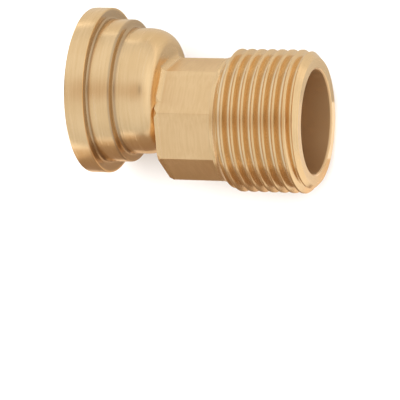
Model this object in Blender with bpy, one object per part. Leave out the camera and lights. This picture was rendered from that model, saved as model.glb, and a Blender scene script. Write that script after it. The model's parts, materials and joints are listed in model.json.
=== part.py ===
"""Eccentric push fit coupling: a push fit socket for copper pipe at one end, an offset male thread at the other.

The coupling lies on its side, as it does on a bench. +X runs along both axes from the socket's mouth to the
threaded end, +Z is up, and the origin is at the bottom centre of the whole coupling. The flange's rim and the
thread's crests both touch z = 0, and the thread's axis lies to the -Y side of the socket's axis.
Distances along X are measured from the flange's outer face. Lengths are in metres.
"""
import math

import bmesh
import bpy

MM = 0.001

# Pipe and seal
PIPE_RADIUS = 7.5 * MM
PIPE_CLEARANCE = 0.2 * MM
SEAL_SECTION = 2.4 * MM
SEAL_GRIP = 0.05 * MM
SEAL_ROOM = 0.45 * MM

# Fits
GAP = 0.3 * MM

# Release collar
RELEASE_WALL = 0.8 * MM
RELEASE_FLANGE_WIDTH = 1.7 * MM
RELEASE_FLANGE_THICKNESS = 1.2 * MM
RELEASE_TRAVEL = 1.5 * MM
RELEASE_BEAD_HEIGHT = 0.6 * MM
RELEASE_BEAD_LENGTH = 0.6 * MM
RELEASE_NOSE_LENGTH = 0.4 * MM

# End cap
MOUTH_RECESS_DEPTH = 1.8 * MM
LIP_THICKNESS = 1.2 * MM
RELEASE_STANDOFF = 0.1 * MM
FLANGE_THICKNESS = 3.87 * MM
FLANGE_STEP = 2.2 * MM
COLLAR_END = 8.5 * MM
COLLAR_WALL = 1.33 * MM
CAP_EDGE = 0.35 * MM
CAP_FILLET = 0.25 * MM

# Grab ring and the rings beside it
RING_SEAT_STEP = 0.7 * MM
GUIDE_RING_WALL = 1.3 * MM
GRAB_THICKNESS = 0.4 * MM
GRAB_RIM_WIDTH = 1.4 * MM
GRAB_BITE = 0.15 * MM
GRAB_LEAN = 1.5 * MM
GRAB_TEETH = 16
GRAB_SLOT_SHARE = 0.22
SUPPORT_DEPTH = 2.1 * MM
WASHER_THICKNESS = 0.4 * MM

# Neck and pipe stop
NECK_WALL = 1.67 * MM
REGISTER_LENGTH = 2.3 * MM
STOP_WALL = 1.3 * MM
SHOULDER_LENGTH = 4.5 * MM
SHOULDER_DROP = 2.8 * MM
STOP_LEDGE = 0.8 * MM
THROAT_WALL = 1.5 * MM

# Eccentric offset between the socket's axis and the thread's axis
OFFSET = 5.4 * MM

# Octagon for the spanner
OCTAGON_FLATS = 21.6 * MM
OCTAGON_LENGTH = 11.1 * MM
OCTAGON_OVERHANG = 0.4 * MM
OCTAGON_WALL = 2.55 * MM
OCTAGON_END_WALL = 1.5 * MM
OCTAGON_CORNER_CUT = 0.35 * MM

# Threaded end
THREAD_RADIUS = 13.5 * MM
THREAD_PITCH = 2.0 * MM
THREAD_LENGTH = 17.36 * MM
THREAD_WALL = 2.44 * MM
THREAD_BORE_DEPTH = 15.5 * MM
THREAD_CREST_SHARE = 0.2
THREAD_ROOT_SHARE = 0.2
THREAD_DEPTH_SHARE = 0.6134
THREAD_PHASE = 0.37 * MM
RELIEF_LENGTH = 0.5 * MM
START_CHAMFER = 1.9 * MM
END_CHAMFER = 1.55 * MM
BORE_CHAMFER = 0.34 * MM

# Facets
ROUND_STEPS = 40
SEAL_STEPS = 8
ARC_STEPS = 6
SINK = 0.4 * MM
WELD_DISTANCE = 0.005 * MM

# Radii that follow from the pipe outwards
BORE_FOR_PIPE = PIPE_RADIUS + PIPE_CLEARANCE
RELEASE_OUTER = BORE_FOR_PIPE + RELEASE_WALL
LIP_RADIUS = RELEASE_OUTER + GAP
BEAD_RADIUS = RELEASE_OUTER + RELEASE_BEAD_HEIGHT
RELEASE_FLANGE_RADIUS = RELEASE_OUTER + RELEASE_FLANGE_WIDTH
MOUTH_RECESS_RADIUS = RELEASE_FLANGE_RADIUS + 1.33 * GAP
SEAL_INNER = PIPE_RADIUS - SEAL_GRIP
CAVITY_RADIUS = SEAL_INNER + SEAL_SECTION + SEAL_ROOM
SEAT_RADIUS = CAVITY_RADIUS + RING_SEAT_STEP
NECK_RADIUS = CAVITY_RADIUS + NECK_WALL
SKIRT_RADIUS = NECK_RADIUS + GAP
COLLAR_RADIUS = SKIRT_RADIUS + COLLAR_WALL
FLANGE_RADIUS = COLLAR_RADIUS + FLANGE_STEP
RING_OUTER = SEAT_RADIUS - GAP
RING_INNER = CAVITY_RADIUS - GAP

# Stations along X, from the mouth inwards
LIP_END = MOUTH_RECESS_DEPTH + LIP_THICKNESS
RELEASE_START = -RELEASE_STANDOFF - RELEASE_FLANGE_THICKNESS
BEAD_START = LIP_END + GAP
BEAD_END = BEAD_START + RELEASE_BEAD_LENGTH
NOSE_END = BEAD_END + RELEASE_NOSE_LENGTH
NECK_START = LIP_END + GAP
GRAB_START = NOSE_END + RELEASE_TRAVEL + GAP
GRAB_END = GRAB_START + GRAB_THICKNESS
SEAT_STATION = GRAB_END + GAP
SUPPORT_START = SEAT_STATION
SUPPORT_END = SUPPORT_START + SUPPORT_DEPTH
WASHER_START = SUPPORT_END + GAP
WASHER_END = WASHER_START + WASHER_THICKNESS
SEAL_START = WASHER_END + GAP
CAVITY_END = SEAL_START + SEAL_SECTION + GAP
STOP_STATION = CAVITY_END + REGISTER_LENGTH
SHOULDER_END = STOP_STATION + STOP_WALL
OCTAGON_START = SHOULDER_END - OCTAGON_OVERHANG
OCTAGON_END = OCTAGON_START + OCTAGON_LENGTH
THREAD_END = OCTAGON_END + THREAD_LENGTH

# Thread section
THREAD_DEPTH = THREAD_DEPTH_SHARE * THREAD_PITCH
ROOT_RADIUS = THREAD_RADIUS - THREAD_DEPTH
THREAD_BORE = ROOT_RADIUS - THREAD_WALL
PASSAGE_RADIUS = OCTAGON_FLATS / 2 - OCTAGON_WALL
OCTAGON_CORNER = OCTAGON_FLATS / 2 / math.cos(math.pi / 8)
SPIGOT_SIDE_RADIUS = max(THREAD_RADIUS, OCTAGON_CORNER)

# The throat is the widest round hole that leaves the pipe its ledge on one side and the octagon its wall on
# the other.
STOP_OPENING = BORE_FOR_PIPE - STOP_LEDGE
THROAT_RADIUS = (STOP_OPENING + OCTAGON_FLATS / 2 - THROAT_WALL - OFFSET) / 2
THROAT_SHIFT = STOP_OPENING - THROAT_RADIUS

# How the coupling lies: the thread's axis sits lower than the socket's by the difference of the two radii.
# A flange too wide for the offset leaves the thread straight below the socket's axis and clear of the bench.
OFFSET_DROP = max(-OFFSET, min(OFFSET, FLANGE_RADIUS - SPIGOT_SIDE_RADIUS))
OFFSET_SIDE = math.sqrt(OFFSET ** 2 - OFFSET_DROP ** 2)
OFFSET_ANGLE = math.atan2(-OFFSET_DROP, -OFFSET_SIDE)
BENCH_HEIGHT = max(FLANGE_RADIUS, SPIGOT_SIDE_RADIUS + OFFSET_DROP)
SOCKET_Y = (OFFSET_SIDE + SPIGOT_SIDE_RADIUS - FLANGE_RADIUS) / 2
MOUTH_X = -(THREAD_END + RELEASE_START) / 2
SOCKET_ORIGIN = (MOUTH_X, SOCKET_Y, BENCH_HEIGHT)
THREAD_AXIS = (-OFFSET_SIDE, -OFFSET_DROP)

BRASS = ("brass", (0.72, 0.51, 0.27), 1.0, 0.3)
STEEL = ("stainless_steel", (0.62, 0.62, 0.63), 1.0, 0.25)
ACETAL = ("white_acetal", (0.78, 0.78, 0.75), 0.0, 0.4)
GLASS_NYLON = ("glass_filled_nylon", (0.07, 0.075, 0.08), 0.0, 0.5)
RUBBER = ("epdm_rubber", (0.02, 0.02, 0.02), 0.0, 0.7)


def clear_scene():
    for old in list(bpy.data.objects):
        bpy.data.objects.remove(old, do_unlink=True)


def material(finish):
    name, colour, metallic, roughness = finish
    made = bpy.data.materials.get(name)
    if made is None:
        made = bpy.data.materials.new(name)
        made.use_nodes = True
        shader = made.node_tree.nodes["Principled BSDF"]
        shader.inputs["Base Color"].default_value = (*colour, 1.0)
        shader.inputs["Metallic"].default_value = metallic
        shader.inputs["Roughness"].default_value = roughness
    return made


def add_object(name, bm, finish=None):
    """Puts a finished bmesh into the scene as an object with its origin on the socket's axis."""
    bmesh.ops.recalc_face_normals(bm, faces=bm.faces)
    mesh = bpy.data.meshes.new(name)
    bm.to_mesh(mesh)
    bm.free()
    mesh.shade_smooth()
    mesh.set_sharp_from_angle(angle=math.radians(30))
    made = bpy.data.objects.new(name, mesh)
    made.location = SOCKET_ORIGIN
    bpy.context.scene.collection.objects.link(made)
    if finish:
        mesh.materials.append(material(finish))
    return made


def turned(outline, axis=(0.0, 0.0), steps=ROUND_STEPS):
    """Turns an outline of (x, radius) points about an axis along X. Points on the axis close the ends."""
    bm = bmesh.new()
    verts = [bm.verts.new((x, axis[0], axis[1] + radius)) for x, radius in outline]
    edges = [bm.edges.new(pair) for pair in zip(verts, verts[1:])]
    on_axis = outline[0][1] == 0 and outline[-1][1] == 0
    if not on_axis:
        edges.append(bm.edges.new((verts[-1], verts[0])))
    bmesh.ops.spin(bm, geom=verts + edges, cent=(0, *axis), axis=(1, 0, 0), angle=2 * math.pi, steps=steps,
                   use_merge=True)
    bmesh.ops.remove_doubles(bm, verts=bm.verts, dist=0.001 * MM)
    return bm


def arc(centre, size, start, end, steps=ARC_STEPS):
    """Points (x, radius) on an elliptical arc between two angles in degrees, 0 pointing along +X."""
    angles = [math.radians(start + (end - start) * i / steps) for i in range(steps + 1)]
    return [(centre[0] + size[0] * math.cos(a), centre[1] + size[1] * math.sin(a)) for a in angles]


def as_tool(tool):
    tool.hide_render = True
    tool.display_type = "WIRE"
    return tool


def combine(target, tool, operation):
    step = target.modifiers.new(f"{operation.lower()}_{tool.name}", "BOOLEAN")
    step.operation = operation
    step.solver = "EXACT"
    step.object = as_tool(tool)


def weld(target):
    """Closes the hairline slivers that a cut across a helix leaves."""
    step = target.modifiers.new("weld_slivers", "WELD")
    step.merge_threshold = WELD_DISTANCE


def make_neck():
    """The cup that holds the push fit rings, with its rounded shoulder, closed at the pipe stop."""
    outline = [(STOP_STATION, 0.0), (STOP_STATION, BORE_FOR_PIPE), (CAVITY_END, BORE_FOR_PIPE)]
    outline += [(CAVITY_END, CAVITY_RADIUS), (SEAT_STATION, CAVITY_RADIUS), (SEAT_STATION, SEAT_RADIUS)]
    outline += [(NECK_START, SEAT_RADIUS), (NECK_START, NECK_RADIUS - GAP), (NECK_START + GAP, NECK_RADIUS)]
    shoulder_centre = (SHOULDER_END - SHOULDER_LENGTH, NECK_RADIUS - SHOULDER_DROP)
    outline += arc(shoulder_centre, (SHOULDER_LENGTH, SHOULDER_DROP), 90, 0)
    outline += [(SHOULDER_END, 0.0)]
    return add_object("body", turned(outline), BRASS)


def make_octagon():
    """Eight spanner flats about the thread's axis, one of them facing along the offset."""
    bm = bmesh.new()
    corners = [OFFSET_ANGLE + math.pi / 8 + i * math.pi / 4 for i in range(8)]
    ring = [bm.verts.new((OCTAGON_START, THREAD_AXIS[0] + OCTAGON_CORNER * math.cos(a),
                          THREAD_AXIS[1] + OCTAGON_CORNER * math.sin(a))) for a in corners]
    face = bm.faces.new(ring)
    pulled = bmesh.ops.extrude_face_region(bm, geom=[face], use_keep_orig=True)
    moved = [v for v in pulled["geom"] if isinstance(v, bmesh.types.BMVert)]
    bmesh.ops.translate(bm, verts=moved, vec=(OCTAGON_LENGTH + SINK, 0, 0))
    octagon = add_object("octagon_form", bm)
    blank = [(OCTAGON_START - SINK, 0.0), (OCTAGON_START - SINK, OCTAGON_CORNER - OCTAGON_CORNER_CUT)]
    blank += [(OCTAGON_START, OCTAGON_CORNER - OCTAGON_CORNER_CUT)]
    blank += [(OCTAGON_START + 2 * OCTAGON_CORNER_CUT, OCTAGON_CORNER + SINK)]
    blank += [(OCTAGON_END + 2 * SINK, OCTAGON_CORNER + SINK), (OCTAGON_END + 2 * SINK, 0.0)]
    combine(octagon, add_object("octagon_blank", turned(blank, THREAD_AXIS)), "INTERSECT")
    return octagon


def make_thread_ridge():
    """The right hand ridge of the thread, swept a little past both ends of the threaded part."""
    crest = THREAD_PITCH * THREAD_CREST_SHARE / 2
    foot = THREAD_PITCH * (1 - THREAD_ROOT_SHARE) / 2
    sunk = SINK / 4
    sunk_foot = foot + (foot - crest) * sunk / THREAD_DEPTH
    section = [(-sunk_foot, ROOT_RADIUS - sunk), (-crest, THREAD_RADIUS), (crest, THREAD_RADIUS)]
    section += [(sunk_foot, ROOT_RADIUS - sunk)]
    first_turn = OCTAGON_END + THREAD_PHASE - THREAD_PITCH / 4
    turns = math.ceil((THREAD_END - first_turn) / THREAD_PITCH) + 1
    bm = bmesh.new()
    ring = [bm.verts.new((first_turn + x, THREAD_AXIS[0], THREAD_AXIS[1] - r)) for x, r in section]
    face = bm.faces.new(ring)
    bmesh.ops.spin(bm, geom=[face, *face.edges, *face.verts], cent=(0, *THREAD_AXIS), axis=(1, 0, 0),
                   dvec=(THREAD_PITCH / ROUND_STEPS, 0, 0), angle=2 * math.pi * turns, steps=ROUND_STEPS * turns)
    bmesh.ops.remove_doubles(bm, verts=bm.verts, dist=0.001 * MM)
    return add_object("thread_ridge", bm)


def make_threaded_end():
    """Spigot and ridge, trimmed together by a blank with the relief and both chamfers."""
    overrun = 2 * SINK
    spigot = [(OCTAGON_END - overrun, 0.0), (OCTAGON_END - overrun, ROOT_RADIUS)]
    spigot += [(THREAD_END + overrun, ROOT_RADIUS), (THREAD_END + overrun, 0.0)]
    threaded = add_object("threaded_end", turned(spigot, THREAD_AXIS))
    combine(threaded, make_thread_ridge(), "UNION")
    relief_end = OCTAGON_END + RELIEF_LENGTH
    relief_radius = OCTAGON_FLATS / 2 + SINK
    over_crest = THREAD_RADIUS + SINK / 8
    blank = [(OCTAGON_END - SINK, 0.0), (OCTAGON_END - SINK, relief_radius), (relief_end, relief_radius)]
    blank += [(relief_end, THREAD_RADIUS - START_CHAMFER), (relief_end + START_CHAMFER, over_crest)]
    blank += [(THREAD_END - END_CHAMFER - SINK / 8, over_crest), (THREAD_END, THREAD_RADIUS - END_CHAMFER)]
    blank += [(THREAD_END, 0.0)]
    combine(threaded, add_object("thread_blank", turned(blank, THREAD_AXIS)), "INTERSECT")
    weld(threaded)
    return threaded


def make_waterway():
    """The hollow from the pipe stop to the threaded end, in two tools on their own axes."""
    start = OCTAGON_START + OCTAGON_END_WALL
    bore_start = THREAD_END - THREAD_BORE_DEPTH
    wide = THREAD_BORE + BORE_CHAMFER
    outline = [(start, 0.0), (start, PASSAGE_RADIUS), (bore_start, PASSAGE_RADIUS), (bore_start, THREAD_BORE)]
    outline += [(THREAD_END - BORE_CHAMFER, THREAD_BORE), (THREAD_END + SINK, wide + SINK)]
    outline += [(THREAD_END + SINK, 0.0)]
    long_bore = add_object("long_bore", turned(outline, THREAD_AXIS))
    share = THROAT_SHIFT / OFFSET
    throat_axis = (THREAD_AXIS[0] * share, THREAD_AXIS[1] * share)
    throat = [(STOP_STATION - SINK, 0.0), (STOP_STATION - SINK, THROAT_RADIUS)]
    throat += [(start + SINK, THROAT_RADIUS), (start + SINK, 0.0)]
    return long_bore, add_object("throat", turned(throat, throat_axis))


def make_body():
    body = make_neck()
    combine(body, make_octagon(), "UNION")
    combine(body, make_threaded_end(), "UNION")
    long_bore, throat = make_waterway()
    combine(body, long_bore, "DIFFERENCE")
    combine(body, throat, "DIFFERENCE")
    weld(body)


def make_end_cap():
    """Flange and collar in one turning, screwed over the neck. Its lip holds the release collar in."""
    outline = [(MOUTH_RECESS_DEPTH, LIP_RADIUS), (MOUTH_RECESS_DEPTH, MOUTH_RECESS_RADIUS)]
    outline += [(CAP_EDGE, MOUTH_RECESS_RADIUS), (0.0, MOUTH_RECESS_RADIUS + CAP_EDGE)]
    outline += [(0.0, FLANGE_RADIUS - CAP_EDGE), (CAP_EDGE, FLANGE_RADIUS)]
    outline += [(FLANGE_THICKNESS - CAP_EDGE / 2, FLANGE_RADIUS), (FLANGE_THICKNESS, FLANGE_RADIUS - CAP_EDGE / 2)]
    outline += [(FLANGE_THICKNESS, COLLAR_RADIUS + CAP_FILLET), (FLANGE_THICKNESS + CAP_FILLET, COLLAR_RADIUS)]
    outline += [(COLLAR_END - CAP_EDGE, COLLAR_RADIUS), (COLLAR_END, COLLAR_RADIUS - CAP_EDGE)]
    outline += [(COLLAR_END, SKIRT_RADIUS), (LIP_END, SKIRT_RADIUS), (LIP_END, LIP_RADIUS)]
    return add_object("end_cap", turned(outline), BRASS)


def make_release_collar():
    """The collar a finger presses to free the pipe: finger flange, tube, retaining bead and tapered nose."""
    inner = BORE_FOR_PIPE
    edge = GAP
    outline = [(RELEASE_START, inner + edge), (RELEASE_START, RELEASE_FLANGE_RADIUS - edge)]
    outline += [(RELEASE_START + edge, RELEASE_FLANGE_RADIUS), (-RELEASE_STANDOFF, RELEASE_FLANGE_RADIUS)]
    outline += [(-RELEASE_STANDOFF, RELEASE_OUTER), (BEAD_START, RELEASE_OUTER), (BEAD_START, BEAD_RADIUS)]
    outline += [(BEAD_END, BEAD_RADIUS), (NOSE_END, RELEASE_OUTER - edge), (NOSE_END, inner)]
    outline += [(RELEASE_START + edge, inner)]
    return add_object("release_collar", turned(outline), GLASS_NYLON)


def make_guide_ring():
    """Spacer between the cap's lip and the grab ring's rim, which also guides the collar's bead."""
    start = NECK_START
    end = GRAB_START - GAP
    inner = RING_OUTER - GUIDE_RING_WALL
    outline = [(start, inner), (start, RING_OUTER), (end, RING_OUTER), (end, inner)]
    return add_object("guide_ring", turned(outline), ACETAL)


def make_grab_ring():
    """Spring steel ring with a flat rim and slit, leaning teeth that bite the pipe."""
    rim_inner = RING_OUTER - GRAB_RIM_WIDTH
    tip = PIPE_RADIUS - GRAB_BITE
    outline = [(GRAB_START, rim_inner), (GRAB_START, RING_OUTER), (GRAB_END, RING_OUTER), (GRAB_END, rim_inner)]
    outline += [(GRAB_END + GRAB_LEAN, tip), (GRAB_START + GRAB_LEAN, tip)]
    ring = add_object("grab_ring", turned(outline), STEEL)
    bm = bmesh.new()
    slot_half = math.pi / GRAB_TEETH * GRAB_SLOT_SHARE
    near, far = tip - SINK, rim_inner - GAP / 2
    for i in range(GRAB_TEETH):
        middle = 2 * math.pi * (i + 0.5) / GRAB_TEETH
        corners = [(near, middle - slot_half), (far, middle - slot_half), (far, middle + slot_half)]
        corners += [(near, middle + slot_half)]
        foot = [bm.verts.new((GRAB_START - SINK, r * math.cos(a), r * math.sin(a))) for r, a in corners]
        face = bm.faces.new(foot)
        pulled = bmesh.ops.extrude_face_region(bm, geom=[face], use_keep_orig=True)
        moved = [v for v in pulled["geom"] if isinstance(v, bmesh.types.BMVert)]
        bmesh.ops.translate(bm, verts=moved, vec=(GRAB_LEAN + GRAB_THICKNESS + 2 * SINK, 0, 0))
    combine(ring, add_object("grab_ring_slits", bm), "DIFFERENCE")
    return ring


def make_support_ring():
    """Cone backed ring that limits how far the teeth bend and carries the pull on the pipe."""
    back = SUPPORT_END
    front_outer = SUPPORT_START
    cone_outer = RING_INNER - GAP
    cone_depth = GRAB_LEAN * (cone_outer - BORE_FOR_PIPE) / (RING_OUTER - GRAB_RIM_WIDTH - PIPE_RADIUS + GRAB_BITE)
    outline = [(front_outer, cone_outer), (front_outer, RING_INNER), (back, RING_INNER), (back, BORE_FOR_PIPE)]
    outline += [(front_outer + cone_depth, BORE_FOR_PIPE)]
    return add_object("support_ring", turned(outline), GLASS_NYLON)


def make_backing_washer():
    """Thin washer that keeps the seal from being pinched under the support ring."""
    outline = [(WASHER_START, BORE_FOR_PIPE), (WASHER_START, RING_INNER), (WASHER_END, RING_INNER)]
    outline += [(WASHER_END, BORE_FOR_PIPE)]
    return add_object("backing_washer", turned(outline), ACETAL)


def make_pipe_seal():
    """O-ring that seals on the pipe, drawn as it sits before a pipe is pushed in."""
    half = SEAL_SECTION / 2
    centre = (SEAL_START + half, SEAL_INNER + half)
    return add_object("pipe_seal", turned(arc(centre, (half, half), 360, 360 / SEAL_STEPS, SEAL_STEPS - 1)), RUBBER)


clear_scene()
make_body()
make_end_cap()
make_release_collar()
make_guide_ring()
make_grab_ring()
make_support_ring()
make_backing_washer()
make_pipe_seal()
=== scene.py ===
# %% [markdown]
# # An eccentric push fit coupling in turned brass
# The coupling joins a 15 mm copper pipe to a threaded fitting whose axis sits 5.4 mm to one side.
# A brass body carries the thread, the spanner octagon and a cup. A flanged brass cap closes the cup over
# a small stack of rings that hold and seal the pipe. This script makes the fine surface of all eight pieces
# around a frame that already holds their places, then lights them like a catalogue picture.

# %% Load the frame
import json
import math

import bmesh
import bpy
from mathutils import Matrix, Vector


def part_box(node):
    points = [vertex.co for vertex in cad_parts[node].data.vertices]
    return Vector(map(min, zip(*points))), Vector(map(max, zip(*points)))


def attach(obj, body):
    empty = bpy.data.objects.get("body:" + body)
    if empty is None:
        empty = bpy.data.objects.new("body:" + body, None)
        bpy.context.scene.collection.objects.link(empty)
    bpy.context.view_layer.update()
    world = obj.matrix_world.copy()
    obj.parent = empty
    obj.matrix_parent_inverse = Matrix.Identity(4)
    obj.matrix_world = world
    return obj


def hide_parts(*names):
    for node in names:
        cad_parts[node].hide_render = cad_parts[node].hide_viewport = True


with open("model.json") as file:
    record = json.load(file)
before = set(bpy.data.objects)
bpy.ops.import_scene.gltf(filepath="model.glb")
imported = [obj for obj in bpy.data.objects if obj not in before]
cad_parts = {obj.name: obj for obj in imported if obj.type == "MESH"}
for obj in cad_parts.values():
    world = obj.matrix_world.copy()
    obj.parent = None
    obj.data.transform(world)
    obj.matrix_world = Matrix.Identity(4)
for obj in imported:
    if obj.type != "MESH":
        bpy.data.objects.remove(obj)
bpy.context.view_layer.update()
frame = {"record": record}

MM = 0.001

# %% [markdown]
# ## Where everything sits
# Every place comes from the frame. The socket's axis is the middle of the cap's box, because the cap is
# turned about it. The thread is the body's lowest and nearest part, so its axis is one thread radius in from
# those sides. Distances along X are measured from the flange's outer face, as on a drawing of the fitting.

# %% Axes and stations
cap_low, cap_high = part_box("end_cap")
body_low, body_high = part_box("body")
mouth = cap_low.x
socket_axis = ((cap_low.y + cap_high.y) / 2, (cap_low.z + cap_high.z) / 2)
FLANGE_RADIUS = (cap_high.z - cap_low.z) / 2
COLLAR_END = cap_high.x - mouth
THREAD_END = body_high.x - mouth
THREAD_RADIUS = 13.5 * MM
thread_axis = (body_low.y + THREAD_RADIUS, body_low.z + THREAD_RADIUS)
offset = Vector(thread_axis) - Vector(socket_axis)
print(f"flange radius {FLANGE_RADIUS / MM:.2f} mm, offset {offset.length / MM:.2f} mm,",
      f"length {THREAD_END / MM:.2f} mm")

# %% [markdown]
# ## The camera
# A catalogue picture of small fittings is taken from almost straight above with a long lens, so that round
# ends read as narrow ellipses. The camera leans a little towards the threaded end. It aims at a point beside
# the coupling, which leaves it in the upper part of the frame.

# %% Camera
LEAN_TO_THREAD = math.radians(19.25)
LEAN_TO_SIDE = math.radians(5.37)
ROLL = math.radians(3.73)
CAMERA_DISTANCE = 513.4 * MM
LENS = 243.7
AIM_ALONG = 22.04 * MM
AIM_BESIDE = 20.32 * MM
AIM_HEIGHT = 13.3 * MM


def add_camera():
    aim = Vector((mouth + AIM_ALONG, socket_axis[0] - AIM_BESIDE, AIM_HEIGHT))
    across = math.cos(LEAN_TO_THREAD)
    beside = -math.sin(LEAN_TO_SIDE) * across
    above = math.cos(LEAN_TO_SIDE) * across
    back = Vector((math.sin(LEAN_TO_THREAD), beside, above))
    level_up = Vector((0, 1, 0)) - back * back.y
    level_up.normalize()
    level_right = level_up.cross(back)
    right = level_right * math.cos(ROLL) + level_up * math.sin(ROLL)
    up = level_up * math.cos(ROLL) - level_right * math.sin(ROLL)
    turn = Matrix((right, up, back)).transposed().to_4x4()
    data = bpy.data.cameras.new("catalogue_camera")
    data.lens = LENS
    data.clip_start = 10 * MM
    camera = bpy.data.objects.new("catalogue_camera", data)
    camera.matrix_world = Matrix.Translation(aim + back * CAMERA_DISTANCE) @ turn
    bpy.context.scene.collection.objects.link(camera)
    bpy.context.scene.camera = camera
    return camera


camera = add_camera()
print("camera at", [round(c / MM) for c in camera.matrix_world.translation], "mm")

# %% [markdown]
# ## Writing node trees as sums
# Geometry Nodes and shaders share their Math node. A small class wraps a socket, so that an expression in
# Python adds the Math nodes that it needs. Every other node comes from one method that takes the node's type,
# its settings and what goes into its sockets.

# %% Sockets that add up


class Signal:
    """An output socket that takes part in Python sums."""

    def __init__(self, nodes, socket):
        self.nodes = nodes
        self.socket = socket

    def __add__(self, other):
        return self.nodes.maths("ADD", self, other)

    def __sub__(self, other):
        return self.nodes.maths("SUBTRACT", self, other)

    def __rsub__(self, other):
        return self.nodes.maths("SUBTRACT", other, self)

    def __mul__(self, other):
        return self.nodes.maths("MULTIPLY", self, other)

    def __truediv__(self, other):
        return self.nodes.maths("DIVIDE", self, other)

    __radd__ = __add__
    __rmul__ = __mul__


class Nodes:
    """Adds nodes to one tree. A socket takes a number, a vector, a datablock or another node's Signal."""

    def __init__(self, tree):
        self.tree = tree

    def add(self, kind, settings=None, inputs=None, output=0):
        node = self.tree.nodes.new(kind)
        for name, value in (settings or {}).items():
            setattr(node, name, value)
        for key, value in (inputs or {}).items():
            if isinstance(value, Signal):
                self.tree.links.new(value.socket, node.inputs[key])
            else:
                node.inputs[key].default_value = value
        return Signal(self, node.outputs[output]) if node.outputs else node

    def maths(self, operation, *terms):
        return self.add("ShaderNodeMath", {"operation": operation}, dict(enumerate(terms)))

    def split(self, vector):
        first = self.add("ShaderNodeSeparateXYZ", inputs={0: vector})
        return [Signal(self, first.socket.node.outputs[i]) for i in range(3)]

    def join(self, x, y, z):
        return self.add("ShaderNodeCombineXYZ", inputs={0: x, 1: y, 2: z})

    def fade(self, value, start, end, low=0.0, high=1.0):
        """A smooth change from low to high while value goes from start to end."""
        return self.add("ShaderNodeMapRange", {"interpolation_type": "SMOOTHSTEP"},
                        {0: value, 1: start, 2: end, 3: low, 4: high})

    def blend(self, factor, first, second):
        """A mix of two colours."""
        return self.add("ShaderNodeMix", {"data_type": "RGBA"}, {0: factor, 6: first, 7: second}, output=2)


# %% [markdown]
# ## Brass, freshly turned
# The real fitting is a free machining brass, bright but not polished: the tool leaves fine rings round the
# axis, and a light satin over everything. A ring pattern could be an image wrapped round the piece. It is
# computed instead, from the distance along the axis and the distance from it, so that it follows every step,
# cone and face of a turning, and the hollow side as well.

# %% Brass
BRASS_BRIGHT = (0.87, 0.625, 0.35, 1)
BRASS_DEEP = (0.81, 0.565, 0.30, 1)
# Painted shade: a darker brass for the corners where the collar meets the flange and the neck.
BRASS_CORNER_SHADE = (0.56, 0.40, 0.235, 1)
BRASS_ROUGHNESS = 0.25
COARSE_RINGS_PER_MM = 2.2
FINE_RINGS_PER_MM = 9.0
COARSE_DRIFT = 1.2
FINE_DRIFT = 3.0
COARSE_SHEEN = 0.10
FINE_SHEEN = 0.08
COARSE_SHARE = 0.6
CLOUD_SCALE = 160.0
TONE_RANGE = (0.38, 0.62)
SCORE_HEIGHT = 0.01 * MM
# Where the painted corner shade falls, and the flange rim that it leaves unshaded.
SHADED_CORNER_STATIONS = (3.7 * MM, 8.4 * MM)
CORNER_SHADE_REACH = (0.25 * MM, 0.8 * MM)
UNSHADED_RIM = (FLANGE_RADIUS - 0.6 * MM, FLANGE_RADIUS - 0.2 * MM)


def new_material(name):
    made = bpy.data.materials.new(name)
    made.use_nodes = True
    made.node_tree.nodes.clear()
    return made, Nodes(made.node_tree)


def finish_material(nodes, **sockets):
    inputs = {name.replace("_", " "): value for name, value in sockets.items()}
    shader = nodes.add("ShaderNodeBsdfPrincipled", inputs=inputs)
    nodes.add("ShaderNodeOutputMaterial", inputs={"Surface": shader})


def place_on_axis(nodes, axis):
    """Distance along X, distance from the axis, and the direction round it as two numbers."""
    x, y, z = nodes.split(nodes.add("ShaderNodeTexCoord", output=3))
    across = nodes.join(0.0, y - axis[0], z - axis[1])
    radius = nodes.add("ShaderNodeVectorMath", {"operation": "LENGTH"}, {0: across}, output=1)
    around = nodes.add("ShaderNodeVectorMath", {"operation": "NORMALIZE"}, {0: across})
    _, side, height = nodes.split(around)
    return x, radius, side, height


def tool_rings(nodes, place, per_mm, drift):
    """Fine rings round an axis: quick change along it and from it, slow change round it."""
    x, radius, side, height = place
    fine = per_mm / MM
    where = nodes.join(x * fine, radius * fine + side * drift, height * drift)
    return nodes.add("ShaderNodeTexNoise", inputs={"Vector": where, "Scale": 1.0, "Detail": 3.0})


def turned_brass(nodes, place):
    """The colour, the roughness and the height of the marks that all the turned brass shares."""
    coarse = tool_rings(nodes, place, COARSE_RINGS_PER_MM, COARSE_DRIFT)
    fine = tool_rings(nodes, place, FINE_RINGS_PER_MM, FINE_DRIFT)
    where = nodes.add("ShaderNodeTexCoord", output=3)
    cloud = nodes.add("ShaderNodeTexNoise", inputs={"Vector": where, "Scale": CLOUD_SCALE, "Detail": 4.0})
    tone = nodes.fade(cloud * 0.5 + coarse * 0.5, *TONE_RANGE)
    metal = nodes.blend(tone, BRASS_DEEP, BRASS_BRIGHT)
    smoothest = BRASS_ROUGHNESS - (COARSE_SHEEN + FINE_SHEEN) / 2
    rough = coarse * COARSE_SHEEN + fine * FINE_SHEEN + smoothest
    return metal, rough, coarse * COARSE_SHARE + fine * (1 - COARSE_SHARE)


def scored(nodes, marks):
    """Marks as a very low bump."""
    return nodes.add("ShaderNodeBump", inputs={"Strength": 0.5, "Distance": SCORE_HEIGHT, "Height": marks})


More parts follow.
